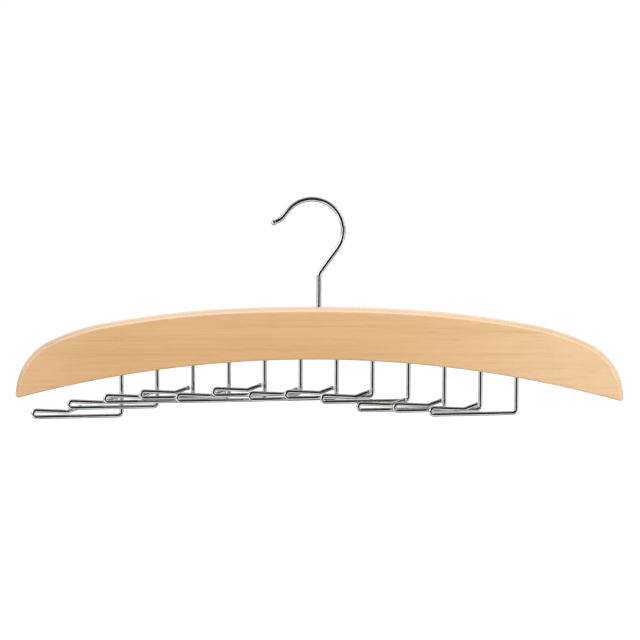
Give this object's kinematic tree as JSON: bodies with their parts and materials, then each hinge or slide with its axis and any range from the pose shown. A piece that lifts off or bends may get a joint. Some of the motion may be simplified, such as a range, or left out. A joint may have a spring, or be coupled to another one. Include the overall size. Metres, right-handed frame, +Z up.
{
  "type": "tie hanger",
  "caption": "Arched wooden hanger bar with a swivelling wire hook and a row of swinging hairpin wire arms that hold neckties.",
  "frame": {"origin": "rod seat: the highest point of the inside of the hook's bow, in the middle of the board's thickness", "axes": "+Z up, +X along the board to the right seen from the front, +Y towards the back"},
  "size_m": [0.44, 0.0207, 0.1605],
  "materials": {
    "lacquered_wood": "pale straight-grained hardwood under clear satin lacquer",
    "chromed_wire": "bright chrome plate on drawn steel wire",
    "washer_steel": "zinc-plated pressed steel",
    "bush_nylon": "natural nylon, as moulded"
  },
  "bodies": {
    "hook": {"hook": "chromed_wire"},
    "bar": {"hanger_board": "lacquered_wood", "hook_washer": "washer_steel", "arm_bush_01": "bush_nylon", "arm_bush_02": "bush_nylon", "arm_bush_03": "bush_nylon", "arm_bush_04": "bush_nylon", "arm_bush_05": "bush_nylon", "arm_bush_06": "bush_nylon", "arm_bush_07": "bush_nylon", "arm_bush_08": "bush_nylon", "arm_bush_09": "bush_nylon", "arm_bush_10": "bush_nylon", "arm_bush_11": "bush_nylon", "arm_bush_12": "bush_nylon"},
    "arm_01": {"tie_arm_01": "chromed_wire"},
    "arm_02": {"tie_arm_02": "chromed_wire"},
    "arm_03": {"tie_arm_03": "chromed_wire"},
    "arm_04": {"tie_arm_04": "chromed_wire"},
    "arm_05": {"tie_arm_05": "chromed_wire"},
    "arm_06": {"tie_arm_06": "chromed_wire"},
    "arm_07": {"tie_arm_07": "chromed_wire"},
    "arm_08": {"tie_arm_08": "chromed_wire"},
    "arm_09": {"tie_arm_09": "chromed_wire"},
    "arm_10": {"tie_arm_10": "chromed_wire"},
    "arm_11": {"tie_arm_11": "chromed_wire"},
    "arm_12": {"tie_arm_12": "chromed_wire"}
  },
  "joints": [
    {"name": "hook_swivel", "type": "hinge", "parent": "hook", "child": "bar", "pos_m": [0.005, 0, -0.0757], "axis": [0, 0, 1], "continuous": true},
    {"name": "arm_01_swing", "type": "hinge", "parent": "bar", "child": "arm_01", "pos_m": [-0.138, 0, -0.12608], "axis": [0, 0, 1], "range_deg": [-4, 160]},
    {"name": "arm_02_swing", "type": "hinge", "parent": "bar", "child": "arm_02", "pos_m": [-0.112, 0, -0.12197], "axis": [0, 0, 1], "range_deg": [-4, 160]},
    {"name": "arm_03_swing", "type": "hinge", "parent": "bar", "child": "arm_03", "pos_m": [-0.086, 0, -0.11869], "axis": [0, 0, 1], "range_deg": [-4, 160]},
    {"name": "arm_04_swing", "type": "hinge", "parent": "bar", "child": "arm_04", "pos_m": [-0.06, 0, -0.11624], "axis": [0, 0, 1], "range_deg": [-4, 160]},
    {"name": "arm_05_swing", "type": "hinge", "parent": "bar", "child": "arm_05", "pos_m": [-0.034, 0, -0.11461], "axis": [0, 0, 1], "range_deg": [-4, 160]},
    {"name": "arm_06_swing", "type": "hinge", "parent": "bar", "child": "arm_06", "pos_m": [-0.008, 0, -0.1138], "axis": [0, 0, 1], "range_deg": [-4, 160]},
    {"name": "arm_07_swing", "type": "hinge", "parent": "bar", "child": "arm_07", "pos_m": [0.018, 0, -0.1138], "axis": [0, 0, 1], "range_deg": [-4, 160]},
    {"name": "arm_08_swing", "type": "hinge", "parent": "bar", "child": "arm_08", "pos_m": [0.044, 0, -0.11461], "axis": [0, 0, 1], "range_deg": [-4, 160]},
    {"name": "arm_09_swing", "type": "hinge", "parent": "bar", "child": "arm_09", "pos_m": [0.07, 0, -0.11624], "axis": [0, 0, 1], "range_deg": [-4, 160]},
    {"name": "arm_10_swing", "type": "hinge", "parent": "bar", "child": "arm_10", "pos_m": [0.096, 0, -0.11869], "axis": [0, 0, 1], "range_deg": [-4, 160]},
    {"name": "arm_11_swing", "type": "hinge", "parent": "bar", "child": "arm_11", "pos_m": [0.122, 0, -0.12197], "axis": [0, 0, 1], "range_deg": [-4, 160]},
    {"name": "arm_12_swing", "type": "hinge", "parent": "bar", "child": "arm_12", "pos_m": [0.148, 0, -0.12608], "axis": [0, 0, 1], "range_deg": [-4, 160]}
  ],
  "couplings": [
    {"joint": "arm_02_swing", "follows": "arm_01_swing", "ratio": 1},
    {"joint": "arm_03_swing", "follows": "arm_01_swing", "ratio": 1},
    {"joint": "arm_04_swing", "follows": "arm_01_swing", "ratio": 1},
    {"joint": "arm_05_swing", "follows": "arm_01_swing", "ratio": 1},
    {"joint": "arm_06_swing", "follows": "arm_01_swing", "ratio": 1},
    {"joint": "arm_07_swing", "follows": "arm_01_swing", "ratio": 1},
    {"joint": "arm_08_swing", "follows": "arm_01_swing", "ratio": 1},
    {"joint": "arm_09_swing", "follows": "arm_01_swing", "ratio": 1},
    {"joint": "arm_10_swing", "follows": "arm_01_swing", "ratio": 1},
    {"joint": "arm_11_swing", "follows": "arm_01_swing", "ratio": 1},
    {"joint": "arm_12_swing", "follows": "arm_01_swing", "ratio": 1}
  ]
}
